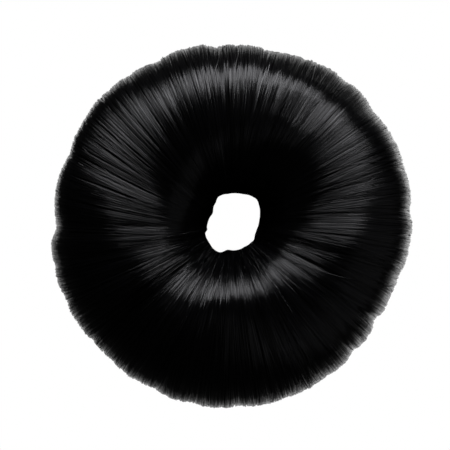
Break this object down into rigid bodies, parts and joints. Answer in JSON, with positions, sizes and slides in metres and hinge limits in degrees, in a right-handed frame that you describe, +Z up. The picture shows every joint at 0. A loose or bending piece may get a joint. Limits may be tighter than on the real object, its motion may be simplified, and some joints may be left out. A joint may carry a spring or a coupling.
{
  "type": "top knot hairpiece",
  "caption": "Padded ring of combed black synthetic hair, bound at its centre hole, worn round a ponytail to give a full round bun.",
  "frame": {"origin": "middle of the ring's box seen from above, on the surface that it rests on", "axes": "+Z up through the hole, +Y towards the side of the ring that is at the picture's top, +X to the picture's right"},
  "size_m": [0.0898, 0.09, 0.0342],
  "materials": {
    "hair_fibre": "combed black synthetic hair with a soft silky gloss along the fibres",
    "woven_tape": "matt black woven tape"
  },
  "bodies": {
    "root": {"fibre_pile": "hair_fibre", "binding_band": "woven_tape"}
  },
  "joints": []
}
